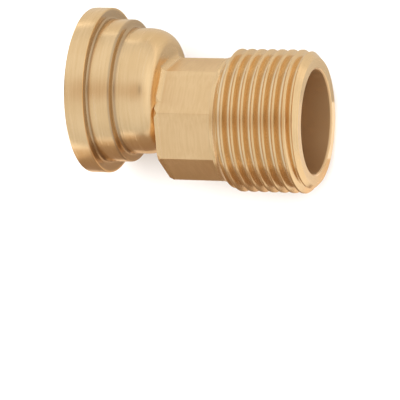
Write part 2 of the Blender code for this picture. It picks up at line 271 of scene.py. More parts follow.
def make_cap_brass():
    """Turned brass, with painted shade that makes it a little darker in the two corners where the collar
    starts and ends.
    """
    made, nodes = new_material("cap_brass")
    place = place_on_axis(nodes, socket_axis)
    along, radius = place[:2]
    metal, rough, marks = turned_brass(nodes, place)
    # Painted shade: darker near each corner station, except on the flange's outer rim.
    corners = [nodes.fade(nodes.maths("ABSOLUTE", along - (mouth + station)), *CORNER_SHADE_REACH)
               for station in SHADED_CORNER_STATIONS]
    clear = nodes.maths("MAXIMUM", nodes.maths("MINIMUM", *corners), nodes.fade(radius, *UNSHADED_RIM))
    colour = nodes.blend(clear, BRASS_CORNER_SHADE, metal)
    finish_material(nodes, Base_Color=colour, Metallic=1.0, Roughness=rough, Normal=scored(nodes, marks))
    return made


cap_brass = make_cap_brass()
print("brass ready:", len(cap_brass.node_tree.nodes), "nodes")

# %% [markdown]
# ## Helpers for meshes
# A turning is an outline spun round an axis. Sharp corners never look like metal, so each corner of an
# outline can carry a small round of its own. Booleans join and cut the turnings, as the drill and the cutter
# would.

# %% Turning and cutting
FINE_STEPS = 180
RING_STEPS = 128
WELD = 0.0005 * MM
SMOOTH_ANGLE = math.radians(28)
OVERRUN = 0.4 * MM
SHARP_EDGE = 0.08 * MM
BROKEN_EDGE = 0.1 * MM
SOFT_EDGE = 0.15 * MM
RIM_ROUND = 0.3 * MM


def link_mesh(name, mesh, material):
    mesh.materials.clear()
    mesh.materials.append(material)
    made = bpy.data.objects.new(name, mesh)
    bpy.context.scene.collection.objects.link(made)
    return made


def round_corners(corners, steps=4):
    """Corners are (station, radius) or (station, radius, round). The last number rounds that corner."""
    points = []
    for i, corner in enumerate(corners):
        here = Vector(corner[:2])
        if len(corner) < 3:
            points.append(here)
            continue
        to_last = Vector(corners[i - 1][:2]) - here
        to_next = Vector(corners[(i + 1) % len(corners)][:2]) - here
        reach = min(corner[2], to_last.length * 0.49, to_next.length * 0.49)
        first = here + to_last.normalized() * reach
        second = here + to_next.normalized() * reach
        for k in range(steps + 1):
            t = k / steps
            points.append(first * (1 - t) ** 2 + here * 2 * t * (1 - t) + second * t ** 2)
    return points


def turned(name, corners, axis, material, steps=FINE_STEPS):
    """Turns an outline about an axis. An outline that starts and ends on the axis gives a solid bar."""
    points = round_corners(corners)
    bm = bmesh.new()
    verts = [bm.verts.new((mouth + p[0], axis[0], axis[1] + p[1])) for p in points]
    pairs = list(zip(verts, verts[1:]))
    if points[0][1] > 0:
        pairs.append((verts[-1], verts[0]))
    edges = [bm.edges.new(pair) for pair in pairs]
    bmesh.ops.spin(bm, geom=verts + edges, cent=(0, *axis), axis=(1, 0, 0), angle=2 * math.pi, steps=steps,
                   use_merge=True)
    bmesh.ops.remove_doubles(bm, verts=bm.verts, dist=WELD)
    bmesh.ops.recalc_face_normals(bm, faces=bm.faces)
    mesh = bpy.data.meshes.new(name)
    bm.to_mesh(mesh)
    bm.free()
    return link_mesh(name, mesh, material)


def evaluated_mesh(piece):
    graph = bpy.context.evaluated_depsgraph_get()
    return bpy.data.meshes.new_from_object(piece.evaluated_get(graph))


def combine(piece, tool, operation):
    """Joins or cuts a piece with a tool, and throws the tool away."""
    step = piece.modifiers.new(operation, "BOOLEAN")
    step.operation = operation
    step.solver = "MANIFOLD"
    step.object = tool
    result = evaluated_mesh(piece)
    piece.modifiers.remove(step)
    piece.data = result
    bpy.data.objects.remove(tool)


def shade(piece):
    piece.data.shade_smooth()
    piece.data.set_sharp_from_angle(angle=SMOOTH_ANGLE)


def report(piece):
    bm = bmesh.new()
    bm.from_mesh(piece.data)
    loose = sum(not e.is_manifold for e in bm.edges)
    triangles = sum(len(f.verts) - 2 for f in bm.faces)
    bm.free()
    print(f"{piece.name}: {triangles} triangles, {loose} open edges")


# %% [markdown]
# ## The body's main sizes
# These are the body's stations and radii. The thread is a metric fine one, 27 mm across with a
# pitch of 2 mm, and its depth follows from the pitch. The material and several shapes share them, so they
# come before both.

# %% Body sizes
THREAD_PITCH = 2.0 * MM
THREAD_DEPTH = 0.6134 * THREAD_PITCH
ROOT_RADIUS = THREAD_RADIUS - THREAD_DEPTH
RELIEF_LENGTH = 0.5 * MM
START_CHAMFER = 1.9 * MM
END_CHAMFER = 1.55 * MM
OCTAGON_FLATS = 21.6 * MM
OCTAGON_CORNER = OCTAGON_FLATS / 2 / math.cos(math.pi / 8)
OCTAGON_START = 15.8 * MM
OCTAGON_END = 26.9 * MM
RELIEF_RADIUS = OCTAGON_CORNER + 0.05 * MM
SHOULDER_END = 15.85 * MM
WALL_FILLET = 1.25 * MM
THREAD_BORE = 9.833 * MM
BORE_START = THREAD_END - 15.5 * MM
print(f"thread depth {THREAD_DEPTH / MM:.2f} mm, octagon corner to corner {2 * OCTAGON_CORNER / MM:.2f} mm")

# %% [markdown]
# ## One brass, two finishes, painted light and painted shade
# The body was turned on two axes, so its rings change axis at the shoulder. The flats were left by the
# forging die and are duller than the turning. The thread valleys get a paler painted light, and the bore
# is painted a browner shade and is half dull. Masks along the axis and across it choose between these in one
# material.

# %% Body brass
# Painted light: a paler, less saturated brass for the thread valleys.
VALLEY_PAINTED_LIGHT = (0.83, 0.655, 0.435, 1)
# Painted shade: a darker, browner brass for the inside of the bore.
BORE_PAINTED_SHADE = (0.68, 0.46, 0.25, 1)
DULL_FLATS = 0.16
DULL_BORE = 0.22
BORE_METALLIC_DROP = 0.05
VALLEY_LIGHT_SHARE = 0.9
VALLEY_LIGHT_DEPTH = 0.9 * MM
VALLEY_LIGHT_RUN_IN = 0.4 * MM
VALLEY_LIGHT_RUN_OUT = 0.3 * MM
FLATS_RUN_IN = 0.6 * MM
AXIS_CHANGE = 0.02 * MM
RELIEF_SEAM = 0.05 * MM


# The bore's mask carries its painted shade, its extra roughness and a slight drop in metallic.
def bore_mask(nodes, x, radius):
    """One inside the threaded end's bore, nought elsewhere."""
    inside = nodes.fade(radius, THREAD_BORE + 0.1 * MM, THREAD_BORE + 0.3 * MM, 1.0, 0.0)
    return inside * nodes.fade(x, mouth + BORE_START - 1 * MM, mouth + BORE_START)


def valley_light_mask(nodes, x, radius):
    """Where the valleys' painted light goes: strong at the thread's root, nought at its crest and on both
    chamfers.
    """
    start = mouth + OCTAGON_END + RELIEF_LENGTH
    end = mouth + THREAD_END - END_CHAMFER
    along = nodes.fade(x, start, start + VALLEY_LIGHT_RUN_IN) * nodes.fade(x, end - VALLEY_LIGHT_RUN_OUT, end, 1.0, 0.0)
    return along * nodes.fade(radius, ROOT_RADIUS, ROOT_RADIUS + VALLEY_LIGHT_DEPTH, VALLEY_LIGHT_SHARE, 0.0)


def make_body_brass():
    made, nodes = new_material("body_brass")
    x = nodes.split(nodes.add("ShaderNodeTexCoord", output=3))[0]
    shoulder = mouth + SHOULDER_END
    relief = mouth + OCTAGON_END
    axis = [nodes.fade(x, shoulder, shoulder + AXIS_CHANGE, *ends) for ends in zip(socket_axis, thread_axis)]
    place = place_on_axis(nodes, axis)
    metal, rough, marks = turned_brass(nodes, place)
    threaded = nodes.fade(x, relief - RELIEF_SEAM, relief + RELIEF_SEAM)
    past_fillet = shoulder + WALL_FILLET
    on_flats = nodes.fade(x, past_fillet - FLATS_RUN_IN, past_fillet) * (1 - threaded)
    in_bore = bore_mask(nodes, x, place[1])
    valley_light = valley_light_mask(nodes, x, place[1])
    # Painted light in the thread valleys and painted shade in the bore, over the turned brass.
    colour = nodes.blend(in_bore, nodes.blend(valley_light, metal, VALLEY_PAINTED_LIGHT), BORE_PAINTED_SHADE)
    rough = rough + on_flats * DULL_FLATS + in_bore * DULL_BORE
    finish_material(nodes, Base_Color=colour, Metallic=1 - in_bore * BORE_METALLIC_DROP, Roughness=rough,
                    Normal=scored(nodes, marks))
    return made


body_brass = make_body_brass()
print("body brass ready:", len(body_brass.node_tree.nodes), "nodes")

# %% [markdown]
# ## The thread
# A male thread is a ridge that climbs one pitch in each turn. It could be a section swept along a helix, but
# joining that to its core leaves slivers. Here Geometry Nodes bend one flat grid into the finished surface.
# The grid's rows follow the helix, so the crest stays crisp, and the height of each row comes from the
# thread's section. Two cones trim it at the ends, as the turner's chamfers do.

# %% Thread tree
ROWS_PER_PITCH = 28
HALF_PAST_ANY_TURN = 100.5
RELIEF_ROUND = 0.1 * MM
CHAMFER_ROUND = 0.08 * MM
GRID_WELD = 0.001 * MM


def thread_tree():
    tree = bpy.data.node_groups.new("helical_thread", "GeometryNodeTree")
    tree.interface.new_socket("Geometry", in_out="OUTPUT", socket_type="NodeSocketGeometry")
    for name in ("Rows", "Columns"):
        tree.interface.new_socket(name, in_out="INPUT", socket_type="NodeSocketInt")
    for name in ("Pitch", "Start", "End", "First Crest", "Root Radius", "Depth", "Flat Share", "Corner Round",
                 "Relief Radius", "Start Radius", "Relief Length", "End Radius", "Axis Y", "Axis Z"):
        tree.interface.new_socket(name, in_out="INPUT", socket_type="NodeSocketFloat")
    tree.interface.new_socket("Material", in_out="INPUT", socket_type="NodeSocketMaterial")
    nodes = Nodes(tree)
    entry = tree.nodes.new("NodeGroupInput")
    value = {s.name: Signal(nodes, s) for s in entry.outputs if s.name}
    grid = nodes.add("GeometryNodeMeshGrid", inputs={
        "Size X": 1.0, "Size Y": 1.0, "Vertices X": value["Rows"], "Vertices Y": value["Columns"]})
    grid_x, grid_y, _ = nodes.split(nodes.add("GeometryNodeInputPosition"))
    around = grid_y + 0.5
    pitch = value["Pitch"]
    start, end = value["Start"], value["End"]
    lead = start - pitch + (grid_x + 0.5) * (value["Rows"] - 1) * pitch / ROWS_PER_PITCH
    along = nodes.maths("MINIMUM", nodes.maths("MAXIMUM", lead + around * pitch, start), end)
    # The whole turns keep the fraction positive, and the half puts a crest in the middle of it.
    phase = nodes.maths("FRACT", (lead - value["First Crest"]) / pitch + HALF_PAST_ANY_TURN)
    from_crest = nodes.maths("ABSOLUTE", phase - 0.5) * 2
    flat = value["Flat Share"]
    flank = (1 - from_crest - flat) / (1 - flat * 2)
    ridge = nodes.maths("SMOOTH_MIN", flank, 1.0, value["Corner Round"])
    ridge = nodes.maths("SMOOTH_MAX", ridge, 0.0, value["Corner Round"])
    radius = value["Root Radius"] + value["Depth"] * ridge
    past_relief = along - start - value["Relief Length"]
    cone = value["Start Radius"] + past_relief
    cone = nodes.maths("SMOOTH_MAX", cone, value["Relief Radius"], RELIEF_ROUND)
    radius = nodes.maths("SMOOTH_MIN", radius, cone, CHAMFER_ROUND)
    radius = nodes.maths("SMOOTH_MIN", radius, value["End Radius"] + end - along, CHAMFER_ROUND)
    angle = around * math.tau
    place = nodes.join(along, value["Axis Y"] + radius * nodes.maths("COSINE", angle),
                       value["Axis Z"] + radius * nodes.maths("SINE", angle))
    bent = nodes.add("GeometryNodeSetPosition", inputs={"Geometry": grid, "Position": place})
    closed = nodes.add("GeometryNodeMergeByDistance", inputs={"Geometry": bent, "Distance": GRID_WELD})
    real = nodes.add("GeometryNodeRealizeInstances", inputs={"Geometry": closed})
    painted = nodes.add("GeometryNodeSetMaterial", inputs={"Geometry": real, "Material": value["Material"]})
    leave = tree.nodes.new("NodeGroupOutput")
    tree.links.new(painted.socket, leave.inputs["Geometry"])
    return tree


def run_tree(piece, tree, values):
    """Runs a tree on a piece with these inputs, and keeps the mesh that comes out."""
    step = piece.modifiers.new(tree.name, "NODES")
    step.node_group = tree
    for item in tree.interface.items_tree:
        if item.in_out == "INPUT" and item.name in values:
            step[item.identifier] = values[item.name]
    result = evaluated_mesh(piece)
    piece.modifiers.remove(step)
    piece.data = result
    return piece


# %% Make the thread
FLAT_SHARE = 0.2
FIRST_CREST = 0.37 * MM
CREST_ROUND = 0.12
SPARE_ROWS = 2


def make_thread():
    """The threaded outside as a closed bar."""
    length = THREAD_END - OCTAGON_END
    rows = math.ceil((length / THREAD_PITCH + 1) * ROWS_PER_PITCH) + SPARE_ROWS
    blank = link_mesh("threaded_end", bpy.data.meshes.new("threaded_end"), body_brass)
    values = {
        "Rows": rows, "Columns": FINE_STEPS + 1, "Material": body_brass,
        "Axis Y": thread_axis[0], "Axis Z": thread_axis[1],
        "Start": mouth + OCTAGON_END, "End": mouth + THREAD_END,
        "Pitch": THREAD_PITCH, "Depth": THREAD_DEPTH, "Root Radius": ROOT_RADIUS,
        "First Crest": mouth + OCTAGON_END + FIRST_CREST,
        "Flat Share": FLAT_SHARE, "Corner Round": CREST_ROUND,
        "Relief Length": RELIEF_LENGTH, "Relief Radius": RELIEF_RADIUS,
        "Start Radius": THREAD_RADIUS - START_CHAMFER, "End Radius": THREAD_RADIUS - END_CHAMFER}
    thread = run_tree(blank, thread_tree(), values)
    bm = bmesh.new()
    bm.from_mesh(thread.data)
    rims = [e for e in bm.edges if e.is_boundary]
    bmesh.ops.holes_fill(bm, edges=rims, sides=0)
    bmesh.ops.recalc_face_normals(bm, faces=bm.faces)
    bm.to_mesh(thread.data)
    bm.free()
    report(thread)
    return thread


thread = make_thread()

# %% [markdown]
# ## The neck, the shoulder and the octagon
# The neck is a turned cup whose far end rounds over into a shoulder. The octagon is a forged block with eight
# flats for the spanner. It could be a scaled cylinder of eight sides, but its long edges must be broken a
# little, so its outline is drawn with small corners and lofted. A turned blank then cuts its front corners
# round, as the lathe does, and a hollow fillet eases the wall between the shoulder and the flats.

# %% Neck and octagon sizes
PIPE_BORE = 7.7 * MM
CAVITY_RADIUS = 10.3 * MM
SEAT_RADIUS = 11.0 * MM
NECK_RADIUS = 11.97 * MM
NECK_START = 3.3 * MM
SEAT_STATION = 6.8 * MM
CAVITY_END = 12.6 * MM
CAVITY_ROUND = 0.2 * MM
STOP_STATION = 14.9 * MM
SHOULDER_LENGTH = 4.5 * MM
SHOULDER_DROP = 2.8 * MM
SHOULDER_STEPS = 16
SHOULDER_END_RADIUS = NECK_RADIUS - SHOULDER_DROP
CORNER_CUT = 0.35 * MM
OCTAGON_EDGE = 0.12 * MM
OCTAGON_BREAK = 0.06 * MM
FILLET_STEPS = 6
FILLET_ROOT = 0.3 * MM
SLIP = 0.02 * MM


def make_neck():
    """The cup with its stepped hollow and its rounded shoulder."""
    corners = [(STOP_STATION, 0.0), (STOP_STATION, PIPE_BORE), (CAVITY_END, PIPE_BORE, BROKEN_EDGE)]
    corners += [(CAVITY_END, CAVITY_RADIUS, CAVITY_ROUND), (SEAT_STATION, CAVITY_RADIUS, SHARP_EDGE)]
    corners += [(SEAT_STATION, SEAT_RADIUS, SHARP_EDGE), (NECK_START, SEAT_RADIUS, SOFT_EDGE)]
    corners += [(NECK_START, NECK_RADIUS, RIM_ROUND)]
    turn = [math.pi / 2 * (1 - i / SHOULDER_STEPS) for i in range(SHOULDER_STEPS + 1)]
    corners += [(SHOULDER_END - SHOULDER_LENGTH * (1 - math.cos(a)),
                 NECK_RADIUS - SHOULDER_DROP * (1 - math.sin(a))) for a in turn]
    corners += [(SHOULDER_END, 0.0)]
    return turned("brass_body", corners, socket_axis, body_brass)


def octagon_outline(flats, edge):
    """The octagon's corners across the thread's axis, each replaced by a short round."""
    reach = flats / 2 / math.cos(math.pi / 8)
    facing = math.atan2(offset.y, offset.x)
    corners = [Vector((math.cos(a), math.sin(a))) * reach
               for a in (facing + math.pi / 8 + i * math.pi / 4 for i in range(8))]
    points = []
    for i, corner in enumerate(corners):
        last = (corners[i - 1] - corner).normalized() * edge
        following = (corners[(i + 1) % 8] - corner).normalized() * edge
        for t in (0, 1 / 3, 2 / 3, 1):
            points.append(corner + last * (1 - t) ** 2 + following * t ** 2)
    return points


def loft_octagon(name, rings):
    """A bar through octagons, each given as its station and how far its flats are drawn in."""
    bm = bmesh.new()
    loops = []
    for station, inset in rings:
        outline = octagon_outline(OCTAGON_FLATS - 2 * inset, OCTAGON_EDGE)
        places = [(mouth + station, thread_axis[0] + p.x, thread_axis[1] + p.y) for p in outline]
        loops.append([bm.verts.new(place) for place in places])
    for near, far in zip(loops, loops[1:]):
        for i in range(len(near)):
            j = (i + 1) % len(near)
            bm.faces.new((near[i], near[j], far[j], far[i]))
    bm.faces.new(loops[0])
    bm.faces.new(loops[-1])
    bmesh.ops.recalc_face_normals(bm, faces=bm.faces)
    mesh = bpy.data.meshes.new(name)
    bm.to_mesh(mesh)
    bm.free()
    return link_mesh(name, mesh, body_brass)


def make_octagon():
    """The spanner octagon, its front corners cut round on the lathe."""
    last = OCTAGON_END + SLIP / 2
    octagon = loft_octagon("octagon", [(OCTAGON_START, OCTAGON_BREAK), (OCTAGON_START + OCTAGON_BREAK, 0.0),
                                       (last, 0.0)])
    front = OCTAGON_CORNER - CORNER_CUT
    clear = OCTAGON_CORNER + SLIP
    corners = [(OCTAGON_START - OVERRUN, 0.0), (OCTAGON_START - OVERRUN, front), (OCTAGON_START, front)]
    corners += [(OCTAGON_START + 2 * CORNER_CUT, clear), (last + OVERRUN, clear), (last + OVERRUN, 0.0)]
    combine(octagon, turned("octagon_blank", corners, thread_axis, body_brass), "INTERSECT")
    return octagon


def make_wall_fillet():
    """The hollow round where the shoulder's end wall meets the flats, kept inside the shoulder's circle."""
    turn = [math.pi / 2 * i / FILLET_STEPS for i in range(FILLET_STEPS + 1)]
    rings = [(SHOULDER_END - FILLET_ROOT, -WALL_FILLET)]
    rings += [(SHOULDER_END + WALL_FILLET * (1 - math.cos(a)), WALL_FILLET * (math.sin(a) - 1)) for a in turn]
    fillet = loft_octagon("wall_fillet", rings)
    keep = SHOULDER_END_RADIUS - SLIP
    far = SHOULDER_END + 2 * MM
    corners = [(SHOULDER_END - OVERRUN, 0.0), (SHOULDER_END - OVERRUN, keep), (far, keep), (far, 0.0)]
    combine(fillet, turned("shoulder_circle", corners, socket_axis, body_brass), "INTERSECT")
    return fillet


# %% [markdown]
# ## The waterway
# Three hollows make one passage: the throat past the pipe's stop, a cast passage through the octagon, and the
# wide plain bore of the threaded end. The passage and the bore share an axis, so the body loses two turnings:
# one for the throat and one for the other two.

# %% Waterway
PASSAGE_RADIUS = 8.25 * MM
PASSAGE_START = OCTAGON_START + 1.5 * MM
THROAT_RADIUS = 5.4 * MM
THROAT_SHIFT = 1.5 * MM
THROAT_CHAMFER = 0.2 * MM
THROAT_STEPS = 96
BORE_CHAMFER = 0.34 * MM
PASSAGE_ROUND = 0.8 * MM
BORE_STEP_ROUND = 0.4 * MM
BORE_STEP_SLOPE = 0.6 * MM


def make_waterway():
    """The tools for the bore and the throat."""
    wide = THREAD_BORE + BORE_CHAMFER
    past_end = THREAD_END + OVERRUN
    corners = [(PASSAGE_START, 0.0), (PASSAGE_START, PASSAGE_RADIUS, PASSAGE_ROUND)]
    corners += [(BORE_START - BORE_STEP_SLOPE, PASSAGE_RADIUS), (BORE_START, THREAD_BORE, BORE_STEP_ROUND)]
    corners += [(THREAD_END - BORE_CHAMFER, THREAD_BORE, SHARP_EDGE), (THREAD_END, wide)]
    corners += [(past_end, wide + OVERRUN), (past_end, 0.0)]
    bore = turned("bore_tool", corners, thread_axis, body_brass)
    shift = offset.normalized() * THROAT_SHIFT
    throat_axis = (socket_axis[0] + shift.x, socket_axis[1] + shift.y)
    before = STOP_STATION - OVERRUN
    beyond = PASSAGE_START + OVERRUN
    corners = [(before, 0.0), (before, THROAT_RADIUS + OVERRUN + THROAT_CHAMFER)]
    corners += [(STOP_STATION + THROAT_CHAMFER, THROAT_RADIUS), (beyond, THROAT_RADIUS), (beyond, 0.0)]
    return bore, turned("throat_tool", corners, throat_axis, body_brass, THROAT_STEPS)


def make_body():
    body = make_neck()
    combine(body, make_octagon(), "UNION")
    combine(body, make_wall_fillet(), "UNION")
    combine(body, thread, "UNION")
    for tool in make_waterway():
        combine(body, tool, "DIFFERENCE")
    shade(body)
    report(body)
    return body


body = make_body()

# %% [markdown]
# ## The end cap
# Flange and collar are one turning that screws over the neck. Its outline carries every small round that a
# turner leaves: the broken edges of the flange, the fillet where the collar leaves it, the recess that the
# release collar sinks into and the lip that holds it. The collar's end runs out in a thin hollow lip on the
# neck, so that no gap shows where the two are screwed tight.

# %% End cap
CAP_STEPS = 256
FLANGE_THICKNESS = 3.87 * MM
FLANGE_ROUND = 0.35 * MM
COLLAR_RADIUS = 13.6 * MM
COLLAR_FILLET = 0.6 * MM
SKIRT_RADIUS = 12.27 * MM
RECESS_DEPTH = 1.8 * MM
RECESS_RADIUS = 10.6 * MM
LIP_RADIUS = 8.8 * MM
LIP_END = 3.0 * MM
LIP_EDGE = 0.12 * MM
COLLAR_START = FLANGE_THICKNESS - 0.4 * MM
COLLAR_FACE = COLLAR_END - 0.25 * MM
END_FILLET = 1.0 * MM
FEATHER = 0.03 * MM
ON_NECK = NECK_RADIUS + 0.02 * MM


def make_end_cap():
    feathered = ON_NECK + FEATHER
    fillet_end = COLLAR_FACE + END_FILLET
    behind = COLLAR_FACE - 0.3 * MM
    corners = [(RECESS_DEPTH, LIP_RADIUS, LIP_EDGE), (RECESS_DEPTH, RECESS_RADIUS, SOFT_EDGE)]
    corners += [(0.0, RECESS_RADIUS, FLANGE_ROUND), (0.0, FLANGE_RADIUS, FLANGE_ROUND)]
    corners += [(FLANGE_THICKNESS, FLANGE_RADIUS, RIM_ROUND), (COLLAR_START, COLLAR_RADIUS, COLLAR_FILLET)]
    corners += [(COLLAR_FACE, COLLAR_RADIUS, RIM_ROUND), (COLLAR_FACE, feathered, END_FILLET)]
    corners += [(fillet_end + 0.1 * MM, feathered), (fillet_end + 0.15 * MM, ON_NECK), (behind, ON_NECK)]
    corners += [(behind, SKIRT_RADIUS), (LIP_END, SKIRT_RADIUS, SOFT_EDGE)]
    corners += [(LIP_END, LIP_RADIUS, BROKEN_EDGE)]
    cap = turned("brass_end_cap", corners, socket_axis, cap_brass, CAP_STEPS)
    shade(cap)
    report(cap)
    return cap


cap = make_end_cap()

# %% [markdown]
# ## Moulded and stamped rings
# Behind the cap's lip sit the small pieces that make a push fit work. Nylon and acetal come out of a mould
# with a soft sheen and a faint grain, the grab ring is stamped from bright spring steel, and the seal is
# black rubber. Each gets a plain material, computed in the same way as the brass.

# %% Plastic, steel and rubber
STEEL_DARK = (0.52, 0.52, 0.53, 1)
STEEL_BRIGHT = (0.70, 0.69, 0.67, 1)
STEEL_ROUGHNESS = 0.2
STEEL_SHEEN = 0.12
MOULD_SHEEN = 0.16
CLOUDING = 300.0


def moulded(name, light, dark, roughness, grain):
    """A moulded plastic or rubber: two close tones, a fine grain and a slightly uneven sheen."""
    made, nodes = new_material(name)
    where = nodes.add("ShaderNodeTexCoord", output=3)
    cloud = nodes.add("ShaderNodeTexNoise", inputs={"Vector": where, "Scale": CLOUDING, "Detail": 3.0})
    pores = nodes.add("ShaderNodeTexNoise", inputs={"Vector": where, "Scale": grain, "Detail": 2.0})
    colour = nodes.blend(nodes.fade(cloud, 0.35, 0.65), dark, light)
    bump = nodes.add("ShaderNodeBump", inputs={"Strength": 0.35, "Distance": 0.02 * MM, "Height": pores})
    rough = pores * MOULD_SHEEN + (roughness - MOULD_SHEEN / 2)
    finish_material(nodes, Base_Color=colour, Roughness=rough, Normal=bump)
    return made


def stamped_steel(axis):
    made, nodes = new_material("spring_steel")
    marks = tool_rings(nodes, place_on_axis(nodes, axis), 6.0, 8.0)
    colour = nodes.blend(marks, STEEL_DARK, STEEL_BRIGHT)
    bump = nodes.add("ShaderNodeBump", inputs={"Strength": 0.3, "Distance": 0.008 * MM, "Height": marks})
    rough = marks * STEEL_SHEEN + STEEL_ROUGHNESS
    finish_material(nodes, Base_Color=colour, Metallic=1.0, Roughness=rough, Normal=bump)
    return made


release_nylon = moulded("release_nylon", (0.085, 0.09, 0.095, 1), (0.06, 0.063, 0.068, 1), 0.42, 6000.0)
acetal = moulded("acetal", (0.80, 0.80, 0.77, 1), (0.74, 0.74, 0.70, 1), 0.38, 5000.0)
support_nylon = moulded("support_nylon", (0.08, 0.085, 0.09, 1), (0.055, 0.06, 0.065, 1), 0.5, 4000.0)
seal_rubber = moulded("seal_rubber", (0.028, 0.028, 0.03, 1), (0.016, 0.016, 0.017, 1), 0.45, 3000.0)
spring_steel = stamped_steel(socket_axis)
print("plain materials ready")

# %% [markdown]
# ## Slits all round
# The collar's nose and the grab ring are both slit at even steps round the axis, one so that the nose can
# spring in past the lip, the other to make its teeth. One tree does both: it sets a cutter on each step of a
# circle and takes them all away from the turning at once.

# %% Slitting tree


def slitting_tree():
    tree = bpy.data.node_groups.new("slit_all_round", "GeometryNodeTree")
    tree.interface.new_socket("Geometry", in_out="INPUT", socket_type="NodeSocketGeometry")
    tree.interface.new_socket("Geometry", in_out="OUTPUT", socket_type="NodeSocketGeometry")
    tree.interface.new_socket("Count", in_out="INPUT", socket_type="NodeSocketInt")
    for name in ("Length", "Width", "Height", "Station", "Radius", "Steps Round", "Axis Y", "Axis Z"):
        tree.interface.new_socket(name, in_out="INPUT", socket_type="NodeSocketFloat")
    tree.interface.new_socket("Material", in_out="INPUT", socket_type="NodeSocketMaterial")
    nodes = Nodes(tree)
    entry = tree.nodes.new("NodeGroupInput")
    value = {s.name: Signal(nodes, s) for s in entry.outputs if s.name}
    size = nodes.join(value["Length"], value["Width"], value["Height"])
    block = nodes.add("GeometryNodeMeshCube", inputs={0: size})
    cutter = nodes.add("GeometryNodeTransform", inputs={
        "Geometry": block, "Translation": nodes.join(value["Station"], 0.0, value["Radius"])})
    axis = nodes.join(0.0, value["Axis Y"], value["Axis Z"])
    steps = nodes.add("GeometryNodeMeshLine", inputs={"Count": value["Count"], "Start Location": axis,
                                                      "Offset": (0.0, 0.0, 0.0)})
    turn = (nodes.add("GeometryNodeInputIndex") + value["Steps Round"]) * math.tau / value["Count"]
    cutters = nodes.add("GeometryNodeInstanceOnPoints", inputs={
        "Points": steps, "Instance": cutter, "Rotation": nodes.join(turn, 0.0, 0.0)})
    cut = nodes.add("GeometryNodeMeshBoolean", {"operation": "DIFFERENCE", "solver": "EXACT"},
                    {"Mesh 1": value["Geometry"], "Mesh 2": cutters})
    real = nodes.add("GeometryNodeRealizeInstances", inputs={"Geometry": cut})
    painted = nodes.add("GeometryNodeSetMaterial", inputs={"Geometry": real, "Material": value["Material"]})
    leave = tree.nodes.new("NodeGroupOutput")
    tree.links.new(painted.socket, leave.inputs["Geometry"])
    return tree


slit_all_round = slitting_tree()


def slit(piece, count, station, length, width, radius, height):
    """Cuts a piece all round with blocks centred on a station and a radius, the first half a step round."""
    run_tree(piece, slit_all_round, {
        "Count": count, "Length": length, "Width": width, "Height": height, "Station": mouth + station,
        "Radius": radius, "Steps Round": 0.5, "Axis Y": socket_axis[0], "Axis Z": socket_axis[1],
        "Material": piece.data.materials[0]})


# %% [markdown]
# ## The release collar
# A finger presses this flanged tube to free the pipe. Its bead hooks behind the cap's lip, and four slits let
# the nose spring in when it is fitted. A shallow ring in the finger flange gives a nail something to catch.

# %% Release collar
RELEASE_OUTER = 8.5 * MM
RELEASE_START = -1.3 * MM
RELEASE_FLANGE_RADIUS = 10.2 * MM
RELEASE_FLANGE_BACK = -0.1 * MM
BEAD_START = 3.3 * MM
BEAD_END = 3.9 * MM
BEAD_RADIUS = 9.1 * MM
NOSE_END = 4.3 * MM
NOSE_TAPER = 0.3 * MM
MOUTH_ROUND = 0.45 * MM
FLANGE_EDGE = 0.12 * MM
NAIL_RING_DEPTH = 0.22 * MM
NAIL_RING_INNER = 8.55 * MM
NAIL_RING_OUTER = 9.45 * MM
NAIL_RING_SLOPE = 0.2 * MM


def make_release_collar():
    ring_floor = RELEASE_START + NAIL_RING_DEPTH
    corners = [(RELEASE_START, PIPE_BORE, MOUTH_ROUND), (RELEASE_START, NAIL_RING_INNER, SHARP_EDGE)]
    corners += [(ring_floor, NAIL_RING_INNER + NAIL_RING_SLOPE, SHARP_EDGE)]
    corners += [(ring_floor, NAIL_RING_OUTER - NAIL_RING_SLOPE, SHARP_EDGE)]
    corners += [(RELEASE_START, NAIL_RING_OUTER, SHARP_EDGE)]
    corners += [(RELEASE_START, RELEASE_FLANGE_RADIUS, RIM_ROUND)]
    corners += [(RELEASE_FLANGE_BACK, RELEASE_FLANGE_RADIUS, FLANGE_EDGE)]
    corners += [(RELEASE_FLANGE_BACK, RELEASE_OUTER, BROKEN_EDGE), (BEAD_START, RELEASE_OUTER, SHARP_EDGE)]
    corners += [(BEAD_START, BEAD_RADIUS, SHARP_EDGE), (BEAD_END, BEAD_RADIUS, SOFT_EDGE)]
    corners += [(NOSE_END, RELEASE_OUTER - NOSE_TAPER, BROKEN_EDGE), (NOSE_END, PIPE_BORE, BROKEN_EDGE)]
    collar = turned("release_collar_moulding", corners, socket_axis, release_nylon, RING_STEPS)
    slit(collar, count=4, station=2.9 * MM, length=4.2 * MM, width=0.9 * MM, radius=RELEASE_OUTER,
         height=3.0 * MM)
    shade(collar)
    report(collar)
    return collar


collar = make_release_collar()

# %% [markdown]
# ## The grab ring and its neighbours
# The grab ring is a flat rim with leaning teeth that bite the pipe. It is turned as a cone and slit into
# teeth. The guide ring, support ring, washer and seal beside it are plain turnings.

# %% Inner rings
TEETH = 16
GRAB_STEPS = 144
GRAB_START = 6.1 * MM
GRAB_THICKNESS = 0.4 * MM
GRAB_LEAN = 1.5 * MM
GRAB_BEND = 0.2 * MM
TOOTH_EDGE = 0.05 * MM
TOOTH_TIP = 7.35 * MM
RIM_INNER = 9.3 * MM
RING_OUTER = 10.7 * MM
RING_INNER = 10.0 * MM
GUIDE_START = 3.3 * MM
GUIDE_END = 5.8 * MM
GUIDE_BORE = 9.4 * MM
SUPPORT_BORE = 9.7 * MM
SUPPORT_NOSE = 8.32 * MM
SUPPORT_END = 8.9 * MM
WASHER_START = 9.2 * MM
WASHER_END = 9.6 * MM
SEAL_STATION = 11.1 * MM
SEAL_RADIUS = 8.65 * MM
SEAL_CORD = 1.2 * MM
SEAL_POINTS = 40


